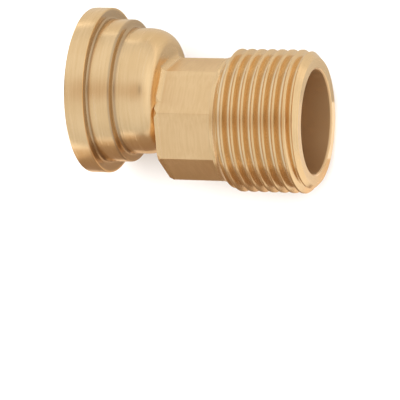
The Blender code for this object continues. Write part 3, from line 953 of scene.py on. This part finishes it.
def make_grab_ring():
    back = GRAB_START + GRAB_THICKNESS
    corners = [(GRAB_START, RIM_INNER, GRAB_BEND), (GRAB_START, RING_OUTER, SHARP_EDGE)]
    corners += [(back, RING_OUTER, SHARP_EDGE), (back, RIM_INNER, GRAB_BEND)]
    corners += [(back + GRAB_LEAN, TOOTH_TIP, TOOTH_EDGE), (GRAB_START + GRAB_LEAN, TOOTH_TIP, TOOTH_EDGE)]
    ring = turned("grab_ring_stamping", corners, socket_axis, spring_steel, GRAB_STEPS)
    slit(ring, count=TEETH, station=GRAB_START + 1.1 * MM, length=3.0 * MM, width=0.62 * MM, radius=8.0 * MM,
         height=2.3 * MM)
    shade(ring)
    report(ring)
    return ring


def make_plain_ring(name, corners, material):
    ring = turned(name, corners, socket_axis, material, RING_STEPS)
    shade(ring)
    report(ring)
    return ring


def make_guide_ring():
    corners = [(GUIDE_START, GUIDE_BORE, SOFT_EDGE), (GUIDE_START, RING_OUTER, BROKEN_EDGE)]
    corners += [(GUIDE_END, RING_OUTER, BROKEN_EDGE), (GUIDE_END, GUIDE_BORE, SOFT_EDGE)]
    return make_plain_ring("guide_ring_moulding", corners, acetal)


def make_support_ring():
    """A ring whose front is a cone, so that it backs the leaning teeth."""
    corners = [(SEAT_STATION, SUPPORT_BORE, SHARP_EDGE), (SEAT_STATION, RING_INNER, BROKEN_EDGE)]
    corners += [(SUPPORT_END, RING_INNER, BROKEN_EDGE), (SUPPORT_END, PIPE_BORE, SOFT_EDGE)]
    corners += [(SUPPORT_NOSE, PIPE_BORE, SHARP_EDGE)]
    return make_plain_ring("support_ring_moulding", corners, support_nylon)


def make_backing_washer():
    corners = [(WASHER_START, PIPE_BORE, SHARP_EDGE), (WASHER_START, RING_INNER, SHARP_EDGE)]
    corners += [(WASHER_END, RING_INNER, SHARP_EDGE), (WASHER_END, PIPE_BORE, SHARP_EDGE)]
    return make_plain_ring("backing_washer_moulding", corners, acetal)


def make_pipe_seal():
    """An O-ring: a round cord, drawn as a circle and turned."""
    turn = [-math.tau * i / SEAL_POINTS for i in range(SEAL_POINTS)]
    corners = [(SEAL_STATION + SEAL_CORD * math.cos(a), SEAL_RADIUS + SEAL_CORD * math.sin(a)) for a in turn]
    return make_plain_ring("pipe_seal_ring", corners, seal_rubber)


grab_ring = make_grab_ring()
guide_ring = make_guide_ring()
support_ring = make_support_ring()
backing_washer = make_backing_washer()
pipe_seal = make_pipe_seal()

# %% [markdown]
# ## Bodies and nodes
# Each fine piece rides on the body that its plain solid belongs to and stands for that solid. Pressing the
# release collar then moves the fine collar, and the simulation keeps the plain one for collision, hidden.

# %% Attach
bodies = frame["record"]["behaviour"]["bodies"]
body_of_node = {node: name for name, nodes in bodies.items() for node in nodes}
stands_for = {"body": body, "end_cap": cap, "release_collar": collar, "grab_ring": grab_ring,
              "guide_ring": guide_ring, "support_ring": support_ring, "backing_washer": backing_washer,
              "pipe_seal": pipe_seal}
for node, piece in stands_for.items():
    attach(piece, body_of_node[node])
    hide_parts(node)
    print(piece.name, "stands for", node, "on", body_of_node[node])

# %% [markdown]
# ## Floor and light
# A catalogue picture is lit by a white tent: soft light from nearly everywhere, brighter beyond the threaded
# end, with a duller patch overhead where the camera looks in, and dark spots for the lens and for the boom
# that holds a lamp. Bright metal shows only what is round it, so these give the dull lines along the top of
# each turning. The floor is a plain pale sheet. Five toned cards lie on it that only reflections can see, as
# a photographer slips grey card beside bright work to give its lower sides some depth.

# %% Stage and tent
FLOOR_SIZE = 2.0
TENT_LEVEL = 0.9
FLOOR_TONE = (0.93, 0.93, 0.93, 1)
TENT_WHITE = (1, 0.995, 0.985, 1)
OPENING_TONE = (0.78, 0.67, 0.57, 1)
OPENING_NARROWING = 0.45
OPENING_SHIFT = 0.13
OPENING_EDGE = (0.08, 0.42)
LENS_SPOT = {"direction": (0.33, -0.09, 0.94), "reach": 0.16, "darkest": 0.28}
BOOM_SPOT = {"direction": (-0.84, -0.03, 0.54), "reach": 0.27, "darkest": 0.1}
SPOT_CORE = 0.04
NEAR_SIDE_LEVEL = 0.95
FAR_SIDE_LEVEL = 1.04
HORIZON_LEVEL = 0.83
AHEAD_LEVEL = 1.22


def add_sheet(name, low, high, colour):
    """A flat sheet on the bench between two corners, given as (x, y, z) and (x, y)."""
    made, nodes = new_material(name)
    finish_material(nodes, Base_Color=colour, Roughness=0.8)
    x, y, z = low
    far_x, far_y = high
    corners = ((x, y, z), (far_x, y, z), (far_x, far_y, z), (x, far_y, z))
    bm = bmesh.new()
    bm.faces.new([bm.verts.new(corner) for corner in corners])
    mesh = bpy.data.meshes.new(name)
    bm.to_mesh(mesh)
    bm.free()
    sheet = link_mesh(name, mesh, made)
    return sheet


def add_card(name, low, high, colour, lift=0.05 * MM):
    """A card on the bench beside the coupling that only reflections see."""
    card = add_sheet(name, (*low, lift), high, colour)
    card.visible_camera = False
    card.visible_diffuse = False
    card.visible_shadow = False
    card.visible_transmission = False


def dark_spot(nodes, way, direction, reach, darkest):
    """One everywhere, falling to darkest round one direction."""
    away = nodes.add("ShaderNodeVectorMath", {"operation": "DISTANCE"}, {0: way, 1: direction}, output=1)
    return nodes.fade(away, SPOT_CORE, reach, darkest, 1.0)


def add_tent():
    """The world as a white tent with a brighter far end, a duller opening overhead and two dark spots."""
    world = bpy.data.worlds.new("white_tent")
    world.use_nodes = True
    world.node_tree.nodes.clear()
    nodes = Nodes(world.node_tree)
    way = nodes.add("ShaderNodeTexCoord", output=0)
    x, y, z = nodes.split(way)
    below = nodes.maths("MINIMUM", z, 0.0)
    aside = nodes.join(x * OPENING_NARROWING, y + OPENING_SHIFT, below)
    from_opening = nodes.add("ShaderNodeVectorMath", {"operation": "LENGTH"}, {0: aside}, output=1)
    colour = nodes.blend(nodes.fade(from_opening, *OPENING_EDGE), OPENING_TONE, TENT_WHITE)
    spots = dark_spot(nodes, way, **LENS_SPOT) * dark_spot(nodes, way, **BOOM_SPOT)
    sides = nodes.fade(y, -0.9, 0.9, NEAR_SIDE_LEVEL, FAR_SIDE_LEVEL)
    low_down = nodes.fade(z, 0.0, 0.55, HORIZON_LEVEL, 1.0)
    ahead = nodes.fade(x, 0.35, 0.9, 1.0, AHEAD_LEVEL)
    strength = spots * sides * low_down * ahead * TENT_LEVEL
    light = nodes.add("ShaderNodeBackground", inputs={"Color": colour, "Strength": strength})
    nodes.add("ShaderNodeOutputWorld", inputs={"Surface": light})
    bpy.context.scene.world = world


def add_softbox(name, place, size, power):
    """A soft area light that looks at the coupling."""
    data = bpy.data.lights.new(name, "AREA")
    data.shape = "DISK"
    data.size = size
    data.energy = power
    light = bpy.data.objects.new(name, data)
    light.location = place
    light.rotation_euler = Vector(place).to_track_quat("Z", "Y").to_euler()
    light.visible_glossy = False
    bpy.context.scene.collection.objects.link(light)


FLOOR_EDGE = FLOOR_SIZE / 2
add_sheet("floor", (-FLOOR_EDGE, -FLOOR_EDGE, 0.0), (FLOOR_EDGE, FLOOR_EDGE), FLOOR_TONE)

# %% Cards, tent and lamp
WARM_CARD = (0.19, 0.13, 0.085, 1)
NEAR_CARD = (0.66, 0.53, 0.40, 1)
LEFT_CARD = (0.40, 0.315, 0.23, 1)
FRONT_CARD = (0.58, 0.55, 0.51, 1)
GREY_CARD = (0.43, 0.41, 0.37, 1)
FRONT_CARD_LIFT = 0.03 * MM
CARD_REACH = 0.98 * FLOOR_EDGE
CARD_LEFT = -90 * MM
CARD_MIDDLE = -40 * MM
CARD_RIGHT = 26 * MM
NEAR_CARD_EDGE = -9 * MM
WARM_CARD_EDGE = -20 * MM
SOFTBOX_PLACE = (0.02, 0.02, 0.6)
SOFTBOX_SIZE = 1.1
SOFTBOX_POWER = 7.0

add_card("warm_card", (CARD_MIDDLE, -CARD_REACH), (CARD_RIGHT, WARM_CARD_EDGE), WARM_CARD)
add_card("left_card", (CARD_LEFT, -CARD_REACH), (CARD_MIDDLE, NEAR_CARD_EDGE), LEFT_CARD)
add_card("near_card", (CARD_MIDDLE, WARM_CARD_EDGE), (CARD_RIGHT, NEAR_CARD_EDGE), NEAR_CARD)
add_card("grey_card", (CARD_LEFT, 2 * MM), (60 * MM, CARD_REACH), GREY_CARD)
add_card("front_card", (CARD_RIGHT, -CARD_REACH), (400 * MM, CARD_REACH), FRONT_CARD, FRONT_CARD_LIFT)
add_tent()
add_softbox("overhead_softbox", SOFTBOX_PLACE, SOFTBOX_SIZE, SOFTBOX_POWER)
bpy.context.scene.view_settings.view_transform = "Standard"
